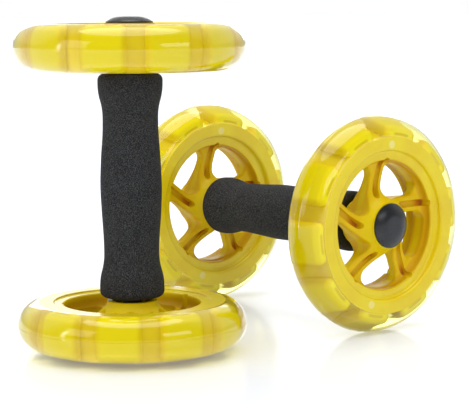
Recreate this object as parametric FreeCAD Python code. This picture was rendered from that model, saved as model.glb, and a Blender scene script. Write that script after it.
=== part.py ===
import FreeCAD, Part
import math
import os

# A pair of hand rollers for floor exercise. Each roller is a foam-covered handle between two wheels, and
# each wheel is a clear tyre cast onto a five-spoke moulded core that runs on two ball bearings.
# One roller stands on end and the other lies on its tyres, the way the pair is put down on a floor.
# Lengths are in millimetres and angles in degrees. The upright roller's axis is Z and its foot is the origin.

# Where the lying roller is: how far its middle is to the side, and the gap between the two rollers' tyres
lying_offset_x = -36.0
lying_gap = 19.0

# The roller: distance between the wheels' middle planes, and from a tyre's side to the end of the grip
wheel_spacing = 174.0
grip_end_gap = 1.5

# How far each wheel's core is turned, from the roller's own X axis to a spoke
upright_upper_turn = 44.8
upright_lower_turn = 38.0
lying_right_turn = 0.0
lying_left_turn = 0.0

# Tyre: a full round tread on a plain bore, with a lip on each side that comes down flush to the rim
tyre_diameter = 145.0
tyre_width = 30.5
tyre_depth = 13.7
tyre_lip_width = 2.0

# Core, rim: a flat face a little below the tyre's side
rim_face_recess = 0.9
rim_face_width = 9.3

# Core, ledge: a step inside the rim that the windows' outer walls belong to, deep on the core's front and
# shallow on its back
ledge_width = 6.5
front_ledge_drop = 4.0
back_ledge_drop = 1.2
ledge_round = 1.2
ledge_corner_round = 4.2

# Core, keys: lugs on the rim that hold the cast tyre, with a notch between each two
lug_count = 10
lug_height = 6.6
lug_width = 25.2
lug_root = 2.0
lug_round = 4.0
notch_angle = 10.0
notch_offset_angle = 25.0

# Core, spokes: straight arms that pass the hub on one side, given by how far their outer edges pass the axle
spoke_count = 5
spoke_width = 11.0
spoke_edge_offset = 17.0
web_thickness = 7.2
window_margin = 1.0
window_hub_corner_share = 0.2
window_rim_corner_share = 0.24
window_edge_round = 1.6
groove_width = 4.6
groove_hub_gap = 5.3
groove_run_out = 0.5
groove_web_thickness = 2.4
groove_floor_round = 1.4

# Core, hub: a boss that flares out into the spokes
hub_diameter = 31.4
flare_drop = 1.0
flare_share = 0.69
cap_seat_step = 1.6
shoulder_width = 5.0
shoulder_step = 1.4

# Hub cap: a domed plug with a small flat on top, pressed into the hub
cap_diameter = 29.6
cap_height = 4.15
cap_edge_height = 1.0
cap_flat_diameter = 10.0
cap_wall = 1.4
axle_cap_gap = 0.85
cap_skirt_length = 3.6
cap_skirt_wall = 1.5

# Ball bearing, the common 8 by 22 by 7 size. Its races and balls are shares of the space from bore to outside
bearing_diameter = 22.0
bearing_width = 7.0
race_share = 0.145
ball_share = 0.28
ball_count = 7

# Axle and what is threaded on it
axle_diameter = 8.0
axle_overhang = 1.0
washer_thickness = 1.0
nut_across_flats = 13.0
nut_height = 5.0
nut_sides = 6

# Handle: a tube with a moulded plug in each end
tube_diameter = 25.4
tube_wall = 2.0
plug_length = 18.0
plug_flange = 2.0
plug_recess = 0.75

# Foam grip: a belly in the middle, a neck to each side of it and a flared end
grip_end_diameter = 41.0
grip_neck_diameter = 35.0
grip_belly_diameter = 38.8
grip_neck_share = 0.62
grip_flare_share = 0.904
grip_end_round = 4.2

# Fits, on the radius: pieces pressed or clamped together, and balls that run in their races
seat_clearance = 0.02
ball_clearance = 0.06

# Sizes that follow from the ones above
full_turn = 360.0
half_turn = full_turn / 2
spoke_pitch = full_turn / spoke_count
lug_pitch = full_turn / lug_count
wheel_station = wheel_spacing / 2
tyre_radius = tyre_diameter / 2
tyre_half = tyre_width / 2
tyre_bore_radius = tyre_radius - tyre_depth
lying_offset_y = tyre_diameter + lying_gap
rim_half = tyre_half - rim_face_recess
rim_wall_radius = tyre_bore_radius - rim_face_width
ledge_radius = rim_wall_radius - ledge_width
lug_radius = tyre_bore_radius + lug_height
web_half = web_thickness / 2
web_radius = ledge_radius - ledge_corner_round
window_radius = ledge_radius - window_margin
hub_radius = hub_diameter / 2
flare_radius = hub_radius + (web_radius - hub_radius) * flare_share
bearing_radius = bearing_diameter / 2
cap_seat_radius = bearing_radius + cap_seat_step
shoulder_radius = bearing_radius - shoulder_step
shoulder_half = shoulder_width / 2
bearing_end = shoulder_half + bearing_width
axle_radius = axle_diameter / 2
inner_land_radius = axle_radius + (bearing_diameter - axle_diameter) * race_share
outer_land_radius = bearing_radius - (bearing_diameter - axle_diameter) * race_share
ball_pitch_radius = (inner_land_radius + outer_land_radius) / 2
ball_radius = (bearing_diameter - axle_diameter) * ball_share / 2
axle_end = bearing_end + washer_thickness + nut_height + axle_overhang
cap_top = axle_end + axle_cap_gap + cap_wall
hub_half = cap_top - cap_height
tube_radius = tube_diameter / 2
tube_bore_radius = tube_radius - tube_wall
grip_end = wheel_station - tyre_half - grip_end_gap
plug_end = grip_end - plug_recess
tube_end = plug_end - plug_flange
grip_neck_station = grip_end * grip_neck_share
grip_flare_station = grip_end * grip_flare_share

origin = FreeCAD.Vector(0, 0, 0)
axis_x = FreeCAD.Vector(1, 0, 0)
axis_y = FreeCAD.Vector(0, 1, 0)
axis_z = FreeCAD.Vector(0, 0, 1)


def at(radius, height):
    """A point of a turned section: its distance from the axis and its height along it."""
    return FreeCAD.Vector(radius, 0, height)


def line(start, end):
    return Part.LineSegment(at(*start), at(*end)).toShape()


def arc(start, middle, end):
    return Part.Arc(at(*start), at(*middle), at(*end)).toShape()


def arc_about(centre, radius, first, last):
    """An arc in a turned section, about a centre, from one angle to another."""
    points = []
    for angle in (first, (first + last) / 2, last):
        turn = math.radians(angle)
        points.append((centre[0] + radius * math.cos(turn), centre[1] + radius * math.sin(turn)))
    return arc(*points)


def path(points):
    return [line(points[i], points[i + 1]) for i in range(len(points) - 1)]


def turned(edges, angle=full_turn):
    """The solid that a closed section makes when it is turned about Z."""
    section = Part.Face(Part.Wire(Part.__sortEdges__(edges)))
    return section.revolve(origin, axis_z, angle)


def ring(inner_radius, outer_radius, low, high):
    """A plain tube about Z between two heights."""
    return turned(path([(inner_radius, low), (outer_radius, low), (outer_radius, high),
                        (inner_radius, high), (inner_radius, low)]))


def turned_about_axis(shape, angle):
    copy = shape.copy()
    copy.rotate(origin, axis_z, angle)
    return copy


def flipped(shape):
    """The same piece for the other end of the roller."""
    copy = shape.copy()
    copy.rotate(origin, axis_x, half_turn)
    return copy


def raised(shape, height):
    copy = shape.copy()
    copy.translate(axis_z * height)
    return copy


def core_section(side):
    """One half of the core's section, from the rim's outer edge in to the bearing shoulder.

    The step from the rim down to the ledge is an S of two equal arcs.
    """
    drop = front_ledge_drop if side > 0 else back_ledge_drop
    bend = drop / 2
    ledge_half = rim_half - drop
    ledge_edge = ledge_radius + ledge_round
    corner_top = web_half + ledge_corner_round
    edges = path([(tyre_bore_radius, rim_half), (rim_wall_radius + bend, rim_half)])
    edges.append(arc_about((rim_wall_radius + bend, rim_half - bend), bend, half_turn / 2, half_turn))
    edges.append(arc_about((rim_wall_radius - bend, ledge_half + bend), bend, 0, -half_turn / 2))
    edges += path([(rim_wall_radius - bend, ledge_half), (ledge_edge, ledge_half)])
    edges.append(arc_about((ledge_edge, ledge_half - ledge_round), ledge_round, half_turn / 2, half_turn))
    edges += path([(ledge_radius, ledge_half - ledge_round), (ledge_radius, corner_top)])
    edges.append(arc_about((web_radius, corner_top), ledge_corner_round, 0, -half_turn / 2))
    edges += path([(web_radius, web_half), (flare_radius, web_half)])
    run = flare_radius - hub_radius
    rise = hub_half - flare_drop - web_half
    flare_round = (run * run + rise * rise) / (2 * rise)
    steepest = 2 * math.degrees(math.atan2(rise, run))
    edges.append(arc_about((flare_radius, web_half + flare_round), flare_round,
                           -half_turn / 2, -half_turn / 2 - steepest))
    edges += path([(hub_radius, hub_half - flare_drop), (hub_radius, hub_half), (cap_seat_radius, hub_half),
                   (cap_seat_radius, bearing_end), (bearing_radius + seat_clearance, bearing_end),
                   (bearing_radius + seat_clearance, shoulder_half), (shoulder_radius, shoulder_half)])
    if side > 0:
        return edges
    return [edge.mirror(origin, axis_z) for edge in edges]


def from_axis(edge):
    """How far the middle of an edge is from the axis."""
    return math.hypot(edge.CenterOfMass.x, edge.CenterOfMass.y)


def window_cutter():
    """The hole between two spokes: bounded by an edge of each and by the rim, with round corners."""
    pitch = math.radians(spoke_pitch)
    trailing_edge = spoke_edge_offset - spoke_width
    apex = FreeCAD.Vector((spoke_edge_offset * math.cos(pitch) - trailing_edge) / math.sin(pitch),
                          spoke_edge_offset, -tyre_width)
    along_one = apex + axis_x * tyre_diameter
    along_next = apex + FreeCAD.Vector(math.cos(pitch), math.sin(pitch), 0) * tyre_diameter
    wedge = Part.Face(Part.makePolygon([apex, along_one, along_next, apex])).extrude(axis_z * tyre_width * 2)
    prism = wedge.common(Part.makeCylinder(window_radius, tyre_width * 2, axis_z * -tyre_width))
    depth = window_radius - spoke_edge_offset
    for share, at_rim in ((window_rim_corner_share, True), (window_hub_corner_share, False)):
        corners = [edge for edge in prism.Edges if abs(edge.tangentAt(edge.FirstParameter).z) > math.cos(pitch)
                   and (from_axis(edge) > spoke_edge_offset + depth / 2) == at_rim]
        prism = prism.makeFillet(depth * share, corners)
    return prism


def groove_cutter():
    """The slot along the middle of a spoke, on one face: its floor is rounded and its top is open."""
    middle = spoke_edge_offset - spoke_width / 2
    half = groove_width / 2
    floor = groove_web_thickness / 2
    start = math.sqrt((hub_radius + groove_hub_gap) ** 2 - middle ** 2)
    end = math.sqrt((window_radius + groove_run_out) ** 2 - middle ** 2)
    corner = [FreeCAD.Vector(u, middle + v, floor) for u, v in
              ((start, -half), (end, -half), (end + half, 0), (end, half), (start, half), (start - half, 0))]
    outline = Part.Wire([Part.LineSegment(corner[0], corner[1]).toShape(),
                         Part.Arc(corner[1], corner[2], corner[3]).toShape(),
                         Part.LineSegment(corner[3], corner[4]).toShape(),
                         Part.Arc(corner[4], corner[5], corner[0]).toShape()])
    slot = Part.Face(outline).extrude(axis_z * tyre_width)
    on_floor = [edge for edge in slot.Edges if edge.BoundBox.ZMax < floor + groove_floor_round]
    return slot.makeFillet(groove_floor_round, on_floor)


def lug():
    """One key of the rim, with its corners rounded."""
    low = tyre_bore_radius - lug_root
    half = lug_width / 2
    block = turned(path([(low, -half), (lug_radius, -half), (lug_radius, half), (low, half), (low, -half)]),
                   lug_pitch - notch_angle)
    outer = [edge for edge in block.Edges if from_axis(edge) > low + lug_root / 2]
    return turned_about_axis(block.makeFillet(lug_round, outer), notch_offset_angle + notch_angle / 2)


def on_window_rim(edge):
    """True for the edges where a window meets the spokes' faces, the ledge's corner or the hub's flare."""
    height = abs(edge.CenterOfMass.z)
    if height < groove_web_thickness / 2 or height > hub_half - flare_drop:
        return False
    return hub_radius < from_axis(edge) < ledge_radius


def wheel_core():
    edges = core_section(1) + core_section(-1)
    edges += [line((tyre_bore_radius, -rim_half), (tyre_bore_radius, rim_half)),
              line((shoulder_radius, -shoulder_half), (shoulder_radius, shoulder_half))]
    core = turned(edges)
    window = window_cutter()
    core = core.cut([turned_about_axis(window, i * spoke_pitch) for i in range(spoke_count)])
    core = core.makeFillet(window_edge_round, [edge for edge in core.Edges if on_window_rim(edge)])
    groove = groove_cutter()
    slots = []
    for i in range(spoke_count):
        slots.append(turned_about_axis(groove, i * spoke_pitch))
        slots.append(slots[-1].mirror(origin, axis_z))
    core = core.cut(slots)
    key = lug()
    return core.fuse([turned_about_axis(key, i * lug_pitch) for i in range(lug_count)]).removeSplitter()


def tyre(core):
    """The cast tyre: a round tread and lips down to the rim, with the keys' shapes left in its bore."""
    crown_centre = tyre_radius - tyre_half
    lip_radius = tyre_bore_radius + tyre_lip_width
    lip = math.sqrt(tyre_half ** 2 - (lip_radius - crown_centre) ** 2)
    tread = arc((lip_radius, -lip), (tyre_radius, 0), (lip_radius, lip))
    return turned([tread] + path([(lip_radius, lip), (tyre_bore_radius, rim_half), (tyre_bore_radius, -rim_half),
                                  (lip_radius, -lip)])).cut(core)


def hub_cap():
    radius = cap_diameter / 2
    flat = cap_flat_diameter / 2
    run = radius - flat
    rise = cap_height - cap_edge_height
    dome_round = (run * run + rise * rise) / (2 * rise)
    reach = 2 * math.degrees(math.atan2(rise, run))
    skirt = cap_seat_radius - seat_clearance
    bore = skirt - cap_skirt_wall
    edges = path([(0, cap_top), (flat, cap_top)])
    edges.append(arc_about((flat, cap_top - dome_round), dome_round, half_turn / 2, half_turn / 2 - reach))
    edges += path([(radius, hub_half + cap_edge_height), (radius, hub_half), (skirt, hub_half),
                   (skirt, hub_half - cap_skirt_length), (bore, hub_half - cap_skirt_length),
                   (bore, cap_top - cap_wall), (0, cap_top - cap_wall), (0, cap_top)])
    return turned(edges)


def ball_track():
    """The ring-shaped space that the balls run in, cut from both races."""
    return Part.makeTorus(ball_pitch_radius, ball_radius + ball_clearance)


def inner_race():
    half = bearing_width / 2
    return ring(axle_radius + seat_clearance, inner_land_radius, -half, half).cut(ball_track())


def outer_race():
    half = bearing_width / 2
    return ring(outer_land_radius, bearing_radius, -half, half).cut(ball_track())


def balls():
    ball = Part.makeSphere(ball_radius, axis_x * ball_pitch_radius)
    return Part.makeCompound([turned_about_axis(ball, i * full_turn / ball_count) for i in range(ball_count)])


def axle_nut():
    """A thin hexagon nut with both faces chamfered to the width across its flats."""
    flat = nut_across_flats / 2
    corner = flat / math.cos(math.pi / nut_sides)
    bottom = bearing_end + washer_thickness
    points = [FreeCAD.Vector(corner * math.cos(2 * math.pi * i / nut_sides),
                             corner * math.sin(2 * math.pi * i / nut_sides), bottom)
              for i in range(nut_sides + 1)]
    prism = Part.Face(Part.makePolygon(points)).extrude(axis_z * nut_height)
    chamfer = (corner - flat) / 2
    blank = turned(path([(0, bottom), (corner - chamfer, bottom), (corner, bottom + chamfer),
                         (corner, bottom + nut_height - chamfer), (corner - chamfer, bottom + nut_height),
                         (0, bottom + nut_height), (0, bottom)]))
    bore = Part.makeCylinder(axle_radius + seat_clearance, nut_height, axis_z * bottom)
    return prism.common(blank).cut(bore)


def end_plug():
    """The moulded plug in one end of the tube, whose nose carries the wheel's inboard bearing."""
    shank = tube_bore_radius - seat_clearance
    bore = axle_radius + seat_clearance
    nose_end = wheel_station - bearing_end
    return turned(path([(bore, tube_end - plug_length), (shank, tube_end - plug_length), (shank, tube_end),
                        (tube_radius, tube_end), (tube_radius, plug_end), (inner_land_radius, plug_end),
                        (inner_land_radius, nose_end), (bore, nose_end), (bore, tube_end - plug_length)]))


def swell(start, end):
    """Two arcs from one radius to another, level with the axis at both ends."""
    middle = ((start[0] + end[0]) / 2, (start[1] + end[1]) / 2)
    rise = (end[0] - start[0]) / 2
    run = (end[1] - start[1]) / 2
    bend = (run * run + rise * rise) / (2 * abs(rise))
    sagitta = bend - math.sqrt(bend * bend - run * run / 4)
    lean = math.copysign(sagitta, rise)
    first = arc(start, (start[0] + lean, start[1] + run / 2), middle)
    second = arc(middle, (end[0] - lean, end[1] - run / 2), end)
    return [first, second]


def grip_half(side):
    """One end of the grip's outline, from the belly out to its bore."""
    belly = (grip_belly_diameter / 2, 0)
    neck = (grip_neck_diameter / 2, grip_neck_station)
    flare = (grip_end_diameter / 2, grip_flare_station)
    bore = tube_radius + seat_clearance
    edges = swell(belly, neck) + swell(neck, flare)
    edges += path([flare, (flare[0], grip_end - grip_end_round)])
    edges.append(arc_about((flare[0] - grip_end_round, grip_end - grip_end_round), grip_end_round,
                           0, half_turn / 2))
    edges += path([(flare[0] - grip_end_round, grip_end), (bore, grip_end)])
    if side > 0:
        return edges
    return [edge.mirror(origin, axis_z) for edge in edges]


def grip_foam():
    bore = tube_radius + seat_clearance
    return turned(grip_half(1) + grip_half(-1) + [line((bore, grip_end), (bore, -grip_end))])


def wheel_pieces():
    """The pieces of one wheel about its own middle plane, with the hub cap and the core's front on the +Z side."""
    core = wheel_core()
    bearing_middle = shoulder_half + bearing_width / 2
    pieces = {"wheel_core": core, "tyre": tyre(core), "hub_cap": hub_cap()}
    for place, height in (("outboard", bearing_middle), ("inboard", -bearing_middle)):
        pieces[place + "_bearing_outer_race"] = raised(outer_race(), height)
        pieces[place + "_bearing_inner_race"] = raised(inner_race(), height)
        pieces[place + "_bearing_balls"] = raised(balls(), height)
    bore = axle_radius + seat_clearance
    pieces["bearing_spacer"] = ring(bore, inner_land_radius, -shoulder_half, shoulder_half)
    pieces["axle_washer"] = ring(bore, inner_land_radius, bearing_end, bearing_end + washer_thickness)
    pieces["axle_nut"] = axle_nut()
    return pieces


def roller_pieces(wheel, ends, front):
    """All the pieces of one roller about its own middle, with its axle along Z and its wheels turned.

    Both cores look the same way along the axle, up or down as front is 1 or -1. The caps look outwards.
    """
    pieces = {"grip_foam": grip_foam(),
              "handle_tube": ring(tube_bore_radius, tube_radius, -tube_end, tube_end),
              "axle_rod": Part.makeCylinder(axle_radius, (wheel_station + axle_end) * 2,
                                            axis_z * -(wheel_station + axle_end))}
    for (end, turn), side in zip(ends, (1, -1)):
        plug = end_plug()
        pieces[end + "_end_plug"] = plug if side > 0 else flipped(plug)
        for name, shape in wheel.items():
            looks = front if name in ("wheel_core", "tyre") else side
            placed = turned_about_axis(shape, turn)
            pieces[end + "_" + name] = raised(placed if looks > 0 else flipped(placed), side * wheel_station)
    return pieces


os.makedirs("parts", exist_ok=True)

upright_place = FreeCAD.Placement(axis_z * (wheel_station + cap_top), FreeCAD.Rotation())
lying_place = FreeCAD.Placement(FreeCAD.Vector(lying_offset_x, lying_offset_y, tyre_radius),
                                FreeCAD.Rotation(axis_y, axis_z, axis_x, "ZXY"))
rollers = (("upright", (("upper", upright_upper_turn), ("lower", upright_lower_turn)), -1, upright_place),
           ("lying", (("right", lying_right_turn), ("left", lying_left_turn)), 1, lying_place))

wheel = wheel_pieces()
for roller, ends, front, place in rollers:
    for name, shape in roller_pieces(wheel, ends, front).items():
        placed = shape.copy()
        placed.Placement = place.multiply(placed.Placement)
        placed.exportStep("parts/" + roller + "_" + name + ".step")
        print(roller, name, "solids", len(placed.Solids), "valid", placed.isValid(), "volume", round(placed.Volume))
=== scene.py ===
# %% [markdown]
# # A pair of hand rollers
# Two short rollers for floor exercise: one stands on end, one lies on its tyres behind it. Each has a foam
# grip between two wheels, and each wheel is a clear urethane tyre cast onto a yellow five-spoke core.
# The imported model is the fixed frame. Its cores, hub caps and metal stay as they are and get a finish.
# The tyres and the foam grips are made again here, because clear urethane and foam need surfaces of their own.

# %% Load the frame
import math

import bpy
import numpy as np
from mathutils import Matrix, Vector


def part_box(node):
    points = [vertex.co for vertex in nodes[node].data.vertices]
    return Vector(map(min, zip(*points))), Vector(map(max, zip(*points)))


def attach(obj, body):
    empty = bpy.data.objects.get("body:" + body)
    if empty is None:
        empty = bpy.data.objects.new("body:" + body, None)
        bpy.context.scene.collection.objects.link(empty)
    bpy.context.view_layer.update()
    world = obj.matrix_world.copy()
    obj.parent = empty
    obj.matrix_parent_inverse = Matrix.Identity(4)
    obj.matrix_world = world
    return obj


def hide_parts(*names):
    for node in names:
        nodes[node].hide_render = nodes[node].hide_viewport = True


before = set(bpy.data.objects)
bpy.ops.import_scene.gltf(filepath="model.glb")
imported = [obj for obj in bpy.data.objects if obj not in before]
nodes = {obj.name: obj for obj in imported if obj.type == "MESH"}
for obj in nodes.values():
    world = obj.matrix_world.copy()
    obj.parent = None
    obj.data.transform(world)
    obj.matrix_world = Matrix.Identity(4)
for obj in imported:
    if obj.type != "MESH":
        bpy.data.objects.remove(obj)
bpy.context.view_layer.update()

scene = bpy.context.scene
scene.view_settings.view_transform = "Standard"
MM = 0.001

# %% [markdown]
# ## Camera
# The picture is taken with a long lens from a little above the upper wheel, 49 degrees round from the lying
# roller's axle. The numbers come from fitting the outlines of all four tyres, so they are kept as measured:
# how far the camera stands back, to the side and up, and how it is turned, tipped and rolled.

# %% Camera
PICTURE_WIDTH = 468
FOCAL_PIXELS = 1845.3
CAMERA_SIDE, CAMERA_BACK, CAMERA_HEIGHT = 64.46 * MM, 1151.31 * MM, 223.13 * MM
TURNED, TIPPED_DOWN, ROLLED = 49.46, 6.41, -0.29
SENSOR_WIDTH = 36
NEAREST = 20 * MM

camera_turn = Matrix.Rotation(math.radians(TURNED), 3, "Z")
camera_tip = Matrix.Rotation(math.radians(90 - TIPPED_DOWN), 3, "X")
camera_roll = Matrix.Rotation(math.radians(ROLLED), 3, "Z")

lens = bpy.data.cameras.new("camera")
lens.sensor_fit = "HORIZONTAL"
lens.sensor_width = SENSOR_WIDTH
lens.lens = SENSOR_WIDTH * FOCAL_PIXELS / PICTURE_WIDTH
lens.clip_start = NEAREST
camera = bpy.data.objects.new("camera", lens)
place = camera_turn @ Vector((CAMERA_SIDE, -CAMERA_BACK, CAMERA_HEIGHT))
camera.matrix_world = Matrix.Translation(place) @ (camera_turn @ camera_tip @ camera_roll).to_4x4()
scene.collection.objects.link(camera)
scene.camera = camera
print("camera at", [round(x, 3) for x in place], "lens", round(lens.lens, 1))

# %% [markdown]
# ## Sums on sockets
# A finish is a sum of masks and noises. Written out as nodes it is hard to read, so one small class wraps a
# socket: an ordinary sum on it adds the Math node, and its node method adds any other kind.

# %% A socket that can be added up
class Wire:
    """A socket of a material. Sums on it add Math nodes, and node() adds a node of any kind."""

    def __init__(self, tree, socket=None):
        self.tree = tree
        self.socket = socket

    def node(self, kind, settings=None, inputs=None, out=0):
        """Adds a node: its settings first, then the values or links of its inputs. Returns one output."""
        node = self.tree.nodes.new(kind)
        for name, value in (settings or {}).items():
            setattr(node, name, value)
        for key, value in (inputs or {}).items():
            if isinstance(value, Wire):
                self.tree.links.new(value.socket, node.inputs[key])
            else:
                node.inputs[key].default_value = value
        return Wire(self.tree, node.outputs[out] if node.outputs else None)

    def maths(self, operation, *values):
        """A Math node on these values, which may be wires or numbers."""
        return self.node("ShaderNodeMath", {"operation": operation}, dict(enumerate(values)))

    def __add__(self, other):
        return self.maths("ADD", self, other)

    def __sub__(self, other):
        return self.maths("SUBTRACT", self, other)

    def __rsub__(self, other):
        return self.maths("SUBTRACT", other, self)

    def __mul__(self, other):
        return self.maths("MULTIPLY", self, other)

    def __pow__(self, power):
        return self.maths("POWER", self, power)

    def __abs__(self):
        return self.maths("ABSOLUTE", self)

    __radd__ = __add__
    __rmul__ = __mul__

    def between(self, low, high):
        """0 up to low, 1 from high on, with a smooth rise between them. low may be the larger one."""
        return self.node("ShaderNodeMapRange", {"interpolation_type": "SMOOTHSTEP"},
                         {"Value": self, "From Min": low, "From Max": high})

    def tint(self, first, second):
        """The colour that goes from first to second as this value goes from 0 to 1."""
        return self.node("ShaderNodeMix", {"data_type": "RGBA"}, {0: self, 6: first, 7: second}, out=2)

    def noise(self, scale, detail=3.0, roughness=0.5):
        """Soft noise on this vector, with that many waves to the metre."""
        return self.node("ShaderNodeTexNoise", None, {"Vector": self, "Scale": scale, "Detail": detail,
                                                      "Roughness": roughness})

    def bump(self, height, strength=1.0):
        """A normal that is raised by this value times a height in metres."""
        return self.node("ShaderNodeBump", None, {"Height": self, "Distance": height, "Strength": strength})


def rgb(red, green, blue):
    """A colour as a screen shows it, from 0 to 255, as the linear colour that a shader takes."""
    share = np.array((red, green, blue)) / 255
    linear = np.where(share <= 0.04045, share / 12.92, ((share + 0.055) / 1.055) ** 2.4)
    return (*linear, 1.0)


def new_material(name):
    """An empty material and the wire that its nodes start from."""
    material = bpy.data.materials.new(name)
    material.use_nodes = True
    material.node_tree.nodes.clear()
    return material, Wire(material.node_tree)


def on_object(wire):
    """The point on the piece, in metres, in the frame that all the pieces share."""
    return wire.node("ShaderNodeTexCoord", out=3)


def on_rays(wire, *kinds):
    """1 on a ray of any of these kinds and 0 on all others: the largest of their Light Path outputs."""
    flags = [wire.node("ShaderNodeLightPath", out=f"Is {kind} Ray") for kind in kinds]
    found = flags[0]
    for flag in flags[1:]:
        found = found.maths("MAXIMUM", found, flag)
    return found


def finish_with(wire, settings):
    """A Principled shader with these inputs, on the material's output."""
    shader = wire.node("ShaderNodeBsdfPrincipled", None, settings)
    wire.node("ShaderNodeOutputMaterial", None, {"Surface": shader})


print("sums on sockets ready")

# %% [markdown]
# ## Floor and light
# The pair stands on a white studio table. Most of what the table shows is the light that falls on it, so it
# takes the soft shadows. A little glow of its own, which only the camera, reflections and the clear tyres see,
# keeps it white, and the glow grows with the distance so that the table runs into the white room behind it.
# A faint gloss gives the pale reflections under the tyres.

# %% Floor
WHITE = (1.0, 1.0, 1.0, 1.0)
TABLE_REACH = 15.0
TABLE_COLOUR = rgb(238, 242, 251)
TABLE_GLOW, TABLE_FAR_GLOW = 0.2, 0.2
TABLE_GLOW_COLOUR = (0.92, 0.96, 1.0, 1.0)
FAR_GLOW_START, FAR_GLOW_FULL = 0.3, 1.2
TABLE_GLOSS, TABLE_GLOSS_ROUGHNESS = 0.22, 0.2

table, wire = new_material("white_table")
seen = on_rays(wire, "Camera", "Glossy", "Transmission")
away = wire.node("ShaderNodeVectorMath", {"operation": "LENGTH"}, {0: on_object(wire)}, out=1)
matt = wire.node("ShaderNodeBsdfDiffuse", None, {"Color": TABLE_COLOUR})
strength = seen * (TABLE_GLOW + TABLE_FAR_GLOW * away.between(FAR_GLOW_START, FAR_GLOW_FULL))
glow = wire.node("ShaderNodeEmission", None, {"Color": TABLE_GLOW_COLOUR, "Strength": strength})
lit = wire.node("ShaderNodeAddShader", None, {0: matt, 1: glow})
gloss = wire.node("ShaderNodeBsdfGlossy", None, {"Color": WHITE, "Roughness": TABLE_GLOSS_ROUGHNESS})
top = wire.node("ShaderNodeMixShader", None, {0: TABLE_GLOSS, 1: lit, 2: gloss})
wire.node("ShaderNodeOutputMaterial", None, {"Surface": top})

corners = np.array([(-1, -1, 0), (1, -1, 0), (1, 1, 0), (-1, 1, 0)]) * TABLE_REACH
mesh = bpy.data.meshes.new("table_top")
mesh.from_pydata(corners.tolist(), [], [(0, 1, 2, 3)])
floor = bpy.data.objects.new("table_top", mesh)
floor.data.materials.append(table)
scene.collection.objects.link(floor)
print("table", TABLE_REACH * 2, "m wide")

# %% [markdown]
# The room is white behind the pair and dim on the camera's side, as in a studio, so the tyres mirror a white
# wall where they turn away and stay clear and deep in colour where they face the camera. Only reflections see
# that room. Matt surfaces get an even level and a broad soft fill from the camera's side, and the camera sees
# plain white.

# %% World
AMBIENT, FILL = 0.28, 0.62
FILL_FROM = (-0.1, -0.94, 0.3)
MIRRORED_FRONT = 0.12
MIRRORED_LOW, MIRRORED_HIGH = 0.5, 0.85
WALL_RISE_START, WALL_RISE_END = 0.05, 0.3
WALL_EDGE = 0.3

world = bpy.data.worlds.new("studio")
world.use_nodes = True
world.node_tree.nodes.clear()
wire = Wire(world.node_tree)
direction = wire.node("ShaderNodeTexCoord", out=0)


def facing(heading):
    """How far a ray runs along a heading: their dot product. X is to the camera's right and Y ahead of it."""
    return wire.node("ShaderNodeVectorMath", {"operation": "DOT_PRODUCT"},
                     {0: direction, 1: camera_turn @ Vector(heading)}, out=1)


seen = on_rays(wire, "Camera", "Transmission")
glossy_ray = on_rays(wire, "Glossy")
high = facing((0, 0, 1)).between(WALL_RISE_START, WALL_RISE_END)
wall = MIRRORED_LOW + (MIRRORED_HIGH - MIRRORED_LOW) * high
mirrored = MIRRORED_FRONT + (wall - MIRRORED_FRONT) * facing((0, 1, 0)).between(-WALL_EDGE, WALL_EDGE)
soft = AMBIENT + FILL * facing(FILL_FROM).between(0.0, 1.0)
level = seen + (1 - seen) * (glossy_ray * mirrored + (1 - glossy_ray) * soft)
around = wire.node("ShaderNodeBackground", None, {"Color": WHITE, "Strength": level})
wire.node("ShaderNodeOutputWorld", None, {"Surface": around})
scene.world = world
print("room level", AMBIENT, "and a fill of", FILL)

# %% [markdown]
# A wide soft lamp overhead gives the table its even light. One softbox stands behind the pair and two at the
# front corners, and a narrow strip on the left draws a long highlight. Each softbox is given by its bearing in
# degrees to the right of the camera's heading, seen from the pair, then its distance, height, width and
# tallness in metres, and its radiance.

# %% Lamps
LAMP_TARGET = Vector((0.0, 0.05, 0.1))
CEILING_STRENGTH, CEILING_SPREAD = 1.7, math.radians(55)
SOFTBOXES = {"back_softbox": (0, 1.5, 0.45, 1.1, 0.4, 2.4),
             "left_softbox": (-125, 1.5, 0.75, 0.9, 0.8, 1.6),
             "right_softbox": (131, 1.5, 0.62, 0.8, 0.4, 2.6),
             "left_strip": (-112, 1.3, 0.3, 0.1, 0.6, 6.0)}


def hang(lamp, matrix):
    """Puts a lamp into the scene. It shines down its own -Z."""
    lamp_object = bpy.data.objects.new(lamp.name, lamp)
    lamp_object.matrix_world = matrix
    scene.collection.objects.link(lamp_object)


def softbox(name, bearing, distance, height, width, tall, radiance):
    """A rectangular lamp aimed at the middle of the pair. Its power is pi times its area times its radiance."""
    lamp = bpy.data.lights.new(name, "AREA")
    lamp.shape = "RECTANGLE"
    lamp.size, lamp.size_y = width, tall
    lamp.energy = math.pi * width * tall * radiance
    turn = math.radians(bearing)
    spot = camera_turn @ Vector((distance * math.sin(turn), distance * math.cos(turn), height))
    aim = (LAMP_TARGET - spot).to_track_quat("-Z", "Y")
    hang(lamp, Matrix.Translation(spot) @ aim.to_matrix().to_4x4())


ceiling = bpy.data.lights.new("ceiling_panel", "SUN")
ceiling.energy, ceiling.angle = CEILING_STRENGTH, CEILING_SPREAD
hang(ceiling, camera_turn.to_4x4())
for name, measures in SOFTBOXES.items():
    softbox(name, *measures)

# %% [markdown]
# ## Wheel places
# Every pattern on a wheel goes round its axle. A Mapping node turns the frame's coordinates into the wheel's
# own: the middle of the wheel is the origin, the axle is Z on the core's front and one spoke points along X.
# Both cores of a roller look the same way: down on the upright one, to the right on the lying one.

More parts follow.
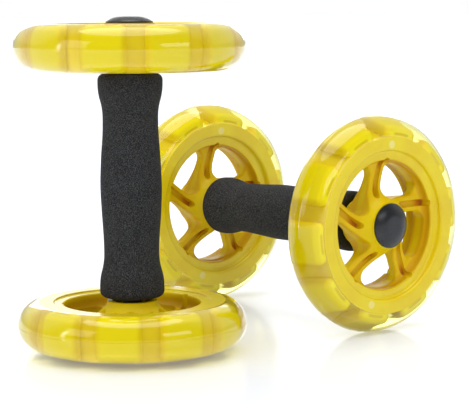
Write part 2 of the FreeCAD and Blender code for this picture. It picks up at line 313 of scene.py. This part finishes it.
# %% Where the wheels are
AXLE_UP = Matrix.Identity(3)
AXLE_ACROSS = Matrix(((0, 0, 1), (1, 0, 0), (0, 1, 0)))
ROUND = Matrix.Rotation(math.pi, 3, "X")
WHEEL_SETS = {"upright_upper": (AXLE_UP @ ROUND, 44.8), "upright_lower": (AXLE_UP @ ROUND, 38.0),
              "lying_right": (AXLE_ACROSS, 0.0), "lying_left": (AXLE_ACROSS, 0.0)}
wheels = {}
for name, (lay, turn) in WHEEL_SETS.items():
    low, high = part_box(f"{name}_tyre")
    wheels[name] = {"middle": (low + high) / 2, "lay": lay @ Matrix.Rotation(math.radians(turn), 3, "Z"),
                    "half_width": min(high - low) / 2, "radius": max(high - low) / 2}
for name, wheel in wheels.items():
    print(name, [round(x / MM, 2) for x in wheel["middle"]], round(wheel["radius"] / MM, 2))


def on_wheel(wire, wheel):
    """The point in the wheel's own coordinates, then its distance from the axle, angle round it and depth.

    Depth is the distance from the wheel's middle plane, the same on both faces. The angle is in radians.
    """
    point = wire.node("ShaderNodeMapping", {"vector_type": "TEXTURE"},
                      {"Vector": on_object(wire), "Location": wheel["middle"],
                       "Rotation": wheel["lay"].to_euler()})
    parts = wire.node("ShaderNodeSeparateXYZ", None, {0: point}).socket.node.outputs
    x, y, z = (Wire(wire.tree, socket) for socket in parts)
    return point, (x * x + y * y) ** 0.5, y.maths("ARCTAN2", y, x), abs(z)


# %% [markdown]
# ## Core plastic
# The core is an opaque yellow moulding. Shade is painted into its colour as a deeper orange where light bounces
# between close walls: in the spokes' grooves, most of all at their ends, on the windows' outer walls, and as
# dark dashes at the keys' feet that stand for shaded slots. The keys under the tyre are a purer yellow, with
# painted light low between them and painted shade on their flanks. Those places follow the core's own shape, so
# each mask is a distance from a line or a ring of it.

# %% Core colours and places
# Painted shade: the amber inside the ledge and on the keys' flanks.
CORE_YELLOW, CORE_WARM, PAINTED_SHADE_AMBER = rgb(236, 214, 16), rgb(231, 202, 14), rgb(220, 164, 18)
# Painted light: the paler yellow low between the keys.
KEY_YELLOW, GAP_LIGHT_YELLOW = rgb(233, 215, 18), rgb(248, 236, 22)
# Painted shade: the orange in the spokes' grooves and the amber on the windows' outer walls.
GROOVE_SHADE_ORANGE, WALL_SHADE_COLOUR = rgb(196, 118, 30), rgb(196, 138, 20)
# Painted shade: the brown dashes that stand for shaded slots at the keys' feet.
SLOT_SHADE_BROWN, DOT_COLOUR = rgb(176, 120, 30), rgb(246, 232, 150)
SPOKES, SPOKE_LINE = 5, 11.5 * MM
GROOVE_HALF, GROOVE_START, GROOVE_END = 2.3 * MM, 21 * MM, 43 * MM
GROOVE_FLOOR, WEB_HALF = 1.6 * MM, 3.6 * MM
LEDGE_RADIUS, WALL_HALF = 43 * MM, 12 * MM
BED_RADIUS = 58.8 * MM
KEYS, KEY_MIDDLE, KEY_HALF = 10, math.radians(43), math.radians(13)
DASH_RADIUS, DASH_HALF_DEPTH, DASH_HALF_LENGTH = 60.6 * MM, 0.9 * MM, 6.5 * MM
DOT_ANGLES, DOT_RADIUS, DOT_SIZE = (88, -108), 53.6 * MM, 2.3 * MM
LEDGE_SHADE_SHARE, LEDGE_SHADE_LESS = 0.42, 0.28
WALL_SHADE_SHARE, WALL_SHADE_MORE = 0.15, 0.4
GROOVE_SHADE_SHARE, GROOVE_END_SHADE_MORE = 0.45, 0.55
ONE_DEGREE = math.radians(1)
print("a core has", SPOKES, "spokes and", KEYS, "keys")


# %% Core masks
def repeated(angle, first, count):
    """The angle from the nearest of a ring of equal places, the first of them at the angle given."""
    step = 2 * math.pi / count
    return angle.maths("WRAP", angle - first, step / 2, -step / 2)


def ledge_painted_shade(radius, depth):
    """Painted shade inside the ledge: strong beside the web and weak near the core's two faces."""
    inside = radius.between(LEDGE_RADIUS + 3 * MM, LEDGE_RADIUS) * depth.between(GROOVE_FLOOR, 2 * GROOVE_FLOOR)
    return inside * (LEDGE_SHADE_SHARE - LEDGE_SHADE_LESS * depth.between(5 * MM, 11 * MM))


def wall_painted_shade(radius, depth):
    """Painted shade in a ring on the windows' outer walls at the ledge's edge, ending below the faces, palest
    at the web.
    """
    ring = (radius.between(LEDGE_RADIUS + MM, LEDGE_RADIUS + 0.3 * MM)
            * radius.between(LEDGE_RADIUS - 3 * MM, LEDGE_RADIUS - 1.4 * MM))
    ring = ring * depth.between(WALL_HALF, WALL_HALF - 3 * MM)
    return ring * (WALL_SHADE_SHARE + WALL_SHADE_MORE * depth.between(MM, 7 * MM))


def flank_painted_shade(angle):
    """Painted shade on the keys' flanks: the last degrees of a key before its edge, by the angle from its
    middle.
    """
    beside = abs(repeated(angle, KEY_MIDDLE, KEYS)) - KEY_HALF
    return beside.between(-4 * ONE_DEGREE, -ONE_DEGREE) * beside.between(ONE_DEGREE, 0.0)


def slot_painted_shade(radius, angle, depth):
    """Dark dashes of painted shade for the slots at the keys' feet: a thin ring, cut to a length about each
    key, near the faces only.
    """
    ring = abs(radius - DASH_RADIUS).between(DASH_HALF_DEPTH * 1.3, DASH_HALF_DEPTH * 0.7)
    from_middle = abs(radius * repeated(angle, KEY_MIDDLE, KEYS))
    length = from_middle.between(DASH_HALF_LENGTH + MM, DASH_HALF_LENGTH - MM)
    return ring * length * depth.between(9 * MM, 11 * MM)


def groove_painted_shade(radius, angle, depth):
    """Painted shade in the spokes' grooves, strongest at both ends.

    A spoke's middle line passes the axle at a distance. At a radius it leans by the arcsine of that distance
    over the radius, and a point is off the line by the radius times the angle that is left.
    """
    lean = radius.maths("ARCSINE", SPOKE_LINE * radius ** -1)
    off_line = abs(radius * repeated(angle - lean, 0.0, SPOKES))
    groove = off_line.between(GROOVE_HALF + 0.4 * MM, GROOVE_HALF - 0.3 * MM)
    groove = groove * depth.between(WEB_HALF, GROOVE_FLOOR)
    groove = groove * radius.between(GROOVE_END + 4 * MM, GROOVE_END + 3 * MM)
    ends = radius.between(GROOVE_START + 8 * MM, GROOVE_START) + radius.between(GROOVE_END - 8 * MM, GROOVE_END)
    return groove * (GROOVE_SHADE_SHARE + GROOVE_END_SHADE_MORE * ends)


def pale_dot(point, place, front):
    """A pale round mark on the core's front: by the distance from its spot."""
    turn = math.radians(place)
    spot = (DOT_RADIUS * math.cos(turn), DOT_RADIUS * math.sin(turn), front)
    away = point.node("ShaderNodeVectorMath", {"operation": "DISTANCE"}, {0: point, 1: spot}, out=1)
    return away.between(DOT_SIZE * 1.35, DOT_SIZE)


print("core masks ready")

# %% [markdown]
# The masks, most of them painted shade and one painted light, are laid over a yellow that drifts a little, one
# after another. The gloss is a clear coat with fine orange peel. It is left off where the urethane is bonded
# on, because no air is there to mirror anything, and it is weaker inside the windows.

# %% Core plastic
FLANK_SHADE_SHARE, SLOT_SHADE_SHARE, DOT_SHARE = 0.22, 0.35, 0.6
WINDOW_GLOSS = 0.3
DRIFT_WAVES, PEEL_WAVES = 38, 900
PEEL_HEIGHT = 0.02 * MM


def dress(node, material):
    """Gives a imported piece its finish, in place of the one that it came with."""
    node.data.materials.clear()
    node.data.materials.append(material)


def core_plastic(name, wheel):
    """The core's finish, in the wheel's own coordinates."""
    material, wire = new_material(name)
    point, radius, angle, depth = on_wheel(wire, wheel)
    drift, peel = point.noise(DRIFT_WAVES, 4), point.noise(PEEL_WAVES, 2)
    colour = drift.between(0.35, 0.7).tint(CORE_YELLOW, CORE_WARM)
    # Painted shade: amber inside the ledge, where light bounces between close walls.
    colour = ledge_painted_shade(radius, depth).tint(colour, PAINTED_SHADE_AMBER)
    # Painted shade on the windows' outer walls.
    colour = wall_painted_shade(radius, depth).tint(colour, WALL_SHADE_COLOUR)
    bedded = radius.between(BED_RADIUS, BED_RADIUS + 0.5 * MM)
    # Painted light: a paler yellow low between the keys, against the shade there.
    gap_painted_light = radius.between(BED_RADIUS + 5 * MM, BED_RADIUS + 2 * MM)
    colour = bedded.tint(colour, gap_painted_light.tint(KEY_YELLOW, GAP_LIGHT_YELLOW))
    # Painted shade on the keys' flanks under the tyre.
    colour = (bedded * flank_painted_shade(angle) * FLANK_SHADE_SHARE).tint(colour, PAINTED_SHADE_AMBER)
    # Painted shade in the grooves, darkest at their ends.
    colour = groove_painted_shade(radius, angle, depth).tint(colour, GROOVE_SHADE_ORANGE)
    # Painted shade: dark dashes for the slots at the keys' feet.
    colour = (slot_painted_shade(radius, angle, depth) * SLOT_SHADE_SHARE).tint(colour, SLOT_SHADE_BROWN)
    # A pale round mark at each of two places on the core's front.
    for place in DOT_ANGLES:
        colour = (pale_dot(point, place, wheel["half_width"]) * DOT_SHARE).tint(colour, DOT_COLOUR)
    open_face = radius.between(LEDGE_RADIUS, LEDGE_RADIUS + 2 * MM)
    glossy = (1 - bedded) * (WINDOW_GLOSS + (1 - WINDOW_GLOSS) * open_face)
    finish_with(wire, {"Base Color": colour, "Roughness": 0.5 + 0.2 * drift, "Specular IOR Level": 0.0,
                       "Coat Weight": glossy, "Coat Roughness": 0.24, "Coat IOR": 1.49,
                       "Normal": peel.bump(PEEL_HEIGHT)})
    return material


for name, wheel in wheels.items():
    dress(nodes[f"{name}_wheel_core"], core_plastic(f"core_plastic_{name}", wheel))
print("core plastic on", len(wheels), "cores")

# %% [markdown]
# ## Hub caps
# A cap is a satin black dome. It has the fine texture of a moulded face and is a little smoother and greyer
# towards its edge: that ring is wear, where hands and floors touch it, and also a painted highlight.

# %% Cap plastic
CAP_BLACK = rgb(18, 19, 21)
CAP_WEAR_AND_SHEEN = rgb(46, 48, 51)
CAP_EDGE, CAP_WEAR_AND_SHEEN_WIDTH = 14.8 * MM, 3 * MM
CAP_GRAIN_WAVES, CAP_PATCH_WAVES = 2600, 260
CAP_GRAIN_HEIGHT = 0.03 * MM


def cap_plastic(name, wheel):
    """The cap's finish: a fine grain all over, and grey patches in a ring at its edge, of wear and painted
    highlight.
    """
    material, wire = new_material(name)
    point, radius, *_ = on_wheel(wire, wheel)
    grain = point.noise(CAP_GRAIN_WAVES, 2)
    patches = point.noise(CAP_PATCH_WAVES, 4).between(0.35, 0.75)
    # The grey ring at the edge is wear and also a painted highlight along the rim.
    wear_and_sheen = radius.between(CAP_EDGE - CAP_WEAR_AND_SHEEN_WIDTH, CAP_EDGE) * patches
    colour = (wear_and_sheen * 0.7).tint((grain * 0.5).tint(CAP_BLACK, CAP_WEAR_AND_SHEEN), CAP_WEAR_AND_SHEEN)
    finish_with(wire, {"Base Color": colour, "Roughness": 0.24 - 0.06 * wear_and_sheen + 0.06 * grain, "IOR": 1.5,
                       "Normal": grain.bump(CAP_GRAIN_HEIGHT)})
    return material


for name, wheel in wheels.items():
    dress(nodes[f"{name}_hub_cap"], cap_plastic(f"cap_plastic_{name}", wheel))
print("cap plastic on", len(wheels), "caps")

# %% [markdown]
# ## Metal and nylon inside
# The tube, axle, nuts, bearings and spacers hardly show, but the wheels come off, so each has its own finish:
# a grain of fine noise in the roughness, and a slight change of colour. The end plugs are grey nylon.

# %% Inner pieces
GRAIN_HEIGHT = 0.01 * MM


def plain_finish(name, light, dark, metallic, rough, grain_scale):
    """A finish whose colour and roughness follow one noise, with that many waves to the metre."""
    material, wire = new_material(name)
    grain = on_object(wire).noise(grain_scale, 4, 0.6)
    finish_with(wire, {"Base Color": grain.between(0.3, 0.7).tint(dark, light), "Metallic": metallic,
                       "Roughness": rough + 0.15 * grain, "Normal": grain.bump(GRAIN_HEIGHT)})
    return material


tube_steel = plain_finish("tube_steel", rgb(186, 188, 192), rgb(164, 166, 170), 1.0, 0.28, 700)
axle_steel = plain_finish("axle_steel", rgb(196, 196, 196), rgb(170, 170, 172), 1.0, 0.25, 1200)
bearing_steel = plain_finish("bearing_steel", rgb(222, 223, 226), rgb(205, 206, 210), 1.0, 0.1, 900)
spacer_alloy = plain_finish("spacer_alloy", rgb(205, 206, 208), rgb(188, 189, 192), 1.0, 0.3, 1500)
plug_nylon = plain_finish("plug_nylon", rgb(52, 53, 56), rgb(40, 41, 44), 0.0, 0.45, 1800)
inner_finishes = {"handle_tube": tube_steel, "axle_rod": axle_steel, "axle_washer": axle_steel,
                  "axle_nut": axle_steel, "race": bearing_steel, "balls": bearing_steel,
                  "bearing_spacer": spacer_alloy, "end_plug": plug_nylon}
for ending, material in inner_finishes.items():
    for name, node in nodes.items():
        if name.endswith(ending):
            dress(node, material)
print("inner finishes on", sum(name.endswith(tuple(inner_finishes)) for name in nodes), "nodes")

# %% [markdown]
# ## Surfaces turned about an axle
# A tyre and a grip are both turned shapes. Their section is a closed loop of points, each a distance from the
# axle and a place along it, and it is carried once round the axle, so the surface closes on itself both ways.

# %% Turned surfaces
SHARP_FROM = math.radians(40)


def turned_surface(name, radius, along, middle, lay, material):
    """A ring made of a closed section carried round an axle.

    radius is a grid, turns by section points, and along has the section's places on the axle. A point is
    the middle, plus its place along the axle, plus its radius times the direction at its turn.
    """
    steps, points = radius.shape
    turn = np.linspace(0, 2 * math.pi, steps, endpoint=False)
    local = np.stack([radius * np.cos(turn)[:, None], radius * np.sin(turn)[:, None],
                      np.broadcast_to(along, radius.shape)], axis=-1)
    place = local @ np.array(lay).T + np.array(middle)
    number = np.arange(steps * points).reshape(steps, points)
    right = np.roll(number, -1, axis=0)
    quads = np.stack([number, right, np.roll(right, -1, axis=1), np.roll(number, -1, axis=1)], axis=-1)
    mesh = bpy.data.meshes.new(name)
    mesh.from_pydata(place.reshape(-1, 3), [], quads.reshape(-1, 4))
    mesh.polygons.foreach_set("use_smooth", np.ones(steps * points, bool))
    mesh.set_sharp_from_angle(angle=SHARP_FROM)
    mesh.materials.append(material)
    mesh.update()
    piece = bpy.data.objects.new(name, mesh)
    scene.collection.objects.link(piece)
    return piece


def arc(centre, size, first, last, count):
    """Points of a section on a circle: centre plus size times the cosine and sine of each angle."""
    angle = np.radians(np.linspace(first, last, count))
    return np.stack([centre[0] + size * np.cos(angle), centre[1] + size * np.sin(angle)], axis=-1)


print("turned surfaces ready")

# %% [markdown]
# ## Tyres
# A tyre is clear, slightly yellow urethane, so what shows is the core behind it, spread by the round tread as
# by a lens. Clear material only looks right if light bends where it goes in and is soaked up on its way, so
# the shader is glass with an absorbing inside. The bore is sunk a little into the core, since two surfaces in
# one place would flicker. Lamps and soft light pass straight in, which keeps the core inside bright.

# %% Urethane
URETHANE_THROUGH = (1.0, 0.99, 0.93, 1.0)
URETHANE_TINT = (0.93, 0.91, 0.14, 1.0)
URETHANE_DENSITY = 56.0
HAZE_WAVES = 120

urethane, wire = new_material("tyre_urethane")
haze = on_object(wire).noise(HAZE_WAVES, 5, 0.6)
clear = wire.node("ShaderNodeBsdfPrincipled", None,
                  {"Base Color": WHITE, "Roughness": 0.14 + 0.04 * haze.between(0.45, 0.8), "IOR": 1.28,
                   "Transmission Weight": 1.0, "Specular IOR Level": 0.1, "Coat Weight": 1.0,
                   "Coat Roughness": 0.1, "Coat IOR": 1.42})
passing = wire.node("ShaderNodeBsdfTransparent", None, {"Color": URETHANE_THROUGH})
shown = wire.node("ShaderNodeMixShader", None, {0: on_rays(wire, "Shadow", "Diffuse"), 1: clear, 2: passing})
inside = wire.node("ShaderNodeVolumeAbsorption", None, {"Color": URETHANE_TINT, "Density": URETHANE_DENSITY})
wire.node("ShaderNodeOutputMaterial", None, {"Surface": shown, "Volume": inside})
print("urethane soaks up light at a density of", URETHANE_DENSITY)

# %% Tyres
BORE_RADIUS, BORE_SINK = BED_RADIUS, 0.5 * MM
RIM_HALF = 14.35 * MM
LIP_WIDTH = 2.0 * MM
BEAD_HEIGHT, BEAD_WIDTH = 0.18 * MM, 0.32 * MM
BEAD_REACH, BEAD_POINTS = 4, 17
TREAD_POINTS, TYRE_STEPS = 72, 240


def tyre_section(radius, half_width):
    """The tyre's section: a round tread with a thin parting bead, lips down to the rim and a sunk bore.

    The tread is the arc of a circle as wide as the tyre, with finer points for the few degrees under the
    bead. The bead is a bell curve on its middle line, and the rest of the tread lies lower by the bead's
    height, so the whole keeps its diameter. A lip runs from the end of the arc to the rim's edge, so that the
    two are flush.
    """
    centre = radius - half_width
    reach = math.degrees(math.acos((BORE_RADIUS + LIP_WIDTH - centre) / half_width))
    tread = arc((centre, 0), half_width, -reach, reach, TREAD_POINTS + 1)
    fine = arc((centre, 0), half_width, -BEAD_REACH, BEAD_REACH, BEAD_POINTS)
    tread = np.concatenate([tread[tread[:, 1] < fine[0, 1]], fine, tread[tread[:, 1] > fine[-1, 1]]])
    tread[:, 0] += BEAD_HEIGHT * (np.exp(-(tread[:, 1] / BEAD_WIDTH) ** 2) - 1) * (tread[:, 0] > centre)
    sunk = BORE_RADIUS - BORE_SINK
    bore = np.array([(BORE_RADIUS, RIM_HALF), (sunk, RIM_HALF - BORE_SINK), (sunk, 0),
                     (sunk, BORE_SINK - RIM_HALF), (BORE_RADIUS, -RIM_HALF)])
    return np.concatenate([tread, bore])


for name, wheel in wheels.items():
    section = tyre_section(wheel["radius"], wheel["half_width"])
    radius = np.broadcast_to(section[:, 0], (TYRE_STEPS, len(section)))
    tyre = turned_surface(f"{name}_clear_tyre", radius, section[:, 1], wheel["middle"], wheel["lay"], urethane)
    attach(tyre, f"{name}_wheel")
    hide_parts(f"{name}_tyre")
    print(tyre.name, len(tyre.data.polygons), "faces")

# %% [markdown]
# ## Foam grips
# A grip is a firm moulded foam sleeve with a belly, two necks and flared ends. It is turned like the tyres,
# from two arcs between each pair of stations, and gets the slight unevenness of foam. Its skin is charcoal
# with a fine speckle: open cells catch the light, so cells set the colour, the roughness and the bump.

# %% Foam
FOAM_DARK = rgb(15, 16, 17)
FOAM_LIGHT = rgb(78, 79, 81)
FOAM_CELLS, FOAM_SPECKLES, FOAM_PATCHES = 1500, 1900, 90
FOAM_RELIEF = 0.25 * MM

foam, wire = new_material("grip_foam")
point = on_object(wire)
cells = wire.node("ShaderNodeTexVoronoi", {"feature": "F1"}, {"Vector": point, "Scale": FOAM_CELLS}, out=0)
speckle = point.noise(FOAM_SPECKLES, 2, 0.6)
patch = point.noise(FOAM_PATCHES, 3)
light = speckle.between(0.42, 0.66) * 0.85 + patch * 0.15
finish_with(wire, {"Base Color": light.tint(FOAM_DARK, FOAM_LIGHT), "Roughness": 0.72 + 0.2 * speckle,
                   "IOR": 1.45, "Specular IOR Level": 0.2,
                   "Normal": (speckle * 0.6 + cells * 0.4).bump(FOAM_RELIEF, 0.8)})
print("foam cells, speckles and patches to the metre", FOAM_CELLS, FOAM_SPECKLES, FOAM_PATCHES)

# %% Grips
NECK_RADIUS, BELLY_RADIUS = 17.5 * MM, 19.4 * MM
NECK_STATION, FLARE_STATION = 43.5 * MM, 63.5 * MM
END_ROUND = 4.2 * MM
GRIP_BORE = 12.72 * MM
BELLY_POINTS, FLARE_POINTS, END_POINTS, BORE_POINTS = 40, 28, 10, 8
GRIP_STEPS = 192
WAVE_HEIGHT = 0.05 * MM


def swell(start, end, count):
    """Two equal arcs from one radius to another, level with the axle at both ends.

    Each arc drops by its bend less the root of bend squared less the way gone squared.
    """
    run, rise = (end[1] - start[1]) / 2, (end[0] - start[0]) / 2
    bend = (run * run + rise * rise) / (2 * abs(rise))
    way = np.linspace(0, 2 * run, count)
    near = np.minimum(way, 2 * run - way)
    drop = np.copysign(bend - np.sqrt(bend * bend - near * near), rise)
    radius = np.where(way <= run, start[0] + drop, end[0] - drop)
    return np.stack([radius, start[1] + way], axis=-1)


def grip_section(end_radius, half_length):
    """One loop: from the belly over neck, flare and rounded end to the bore, and the same mirrored."""
    flare = (end_radius, FLARE_STATION)
    end_centre = (end_radius - END_ROUND, half_length - END_ROUND)
    outer = np.concatenate([swell((BELLY_RADIUS, 0.0), (NECK_RADIUS, NECK_STATION), BELLY_POINTS),
                            swell((NECK_RADIUS, NECK_STATION), flare, FLARE_POINTS)[1:],
                            arc(end_centre, END_ROUND, 0, 90, END_POINTS)])
    bore_along = np.linspace(half_length, -half_length, BORE_POINTS)
    bore = np.stack([np.full(BORE_POINTS, GRIP_BORE), bore_along], axis=-1)
    mirrored = (outer * (1, -1))[:0:-1]
    return np.concatenate([outer, bore, mirrored])


def uneven(turn, along):
    """The foam's slight unevenness: three slow sine waves round and along the grip, never above zero."""
    waves = (np.sin(3 * turn + 90 * along) + np.sin(5 * turn - 140 * along + 1.0)
             + np.sin(2 * turn + 260 * along))
    return WAVE_HEIGHT * (waves - 3)


for roller, lay in (("upright", AXLE_UP), ("lying", AXLE_ACROSS)):
    low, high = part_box(f"{roller}_grip_foam")
    section = grip_section(min(high - low) / 2, max(high - low) / 2)
    turn = np.linspace(0, 2 * math.pi, GRIP_STEPS, endpoint=False)[:, None]
    skin = section[:, 0] > GRIP_BORE + MM
    radius = section[:, 0] + uneven(turn, section[:, 1]) * skin
    grip = turned_surface(f"{roller}_foam_grip", radius, section[:, 1], (low + high) / 2, lay, foam)
    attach(grip, f"{roller}_handle")
    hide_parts(f"{roller}_grip_foam")
    print(grip.name, len(grip.data.polygons), "faces")
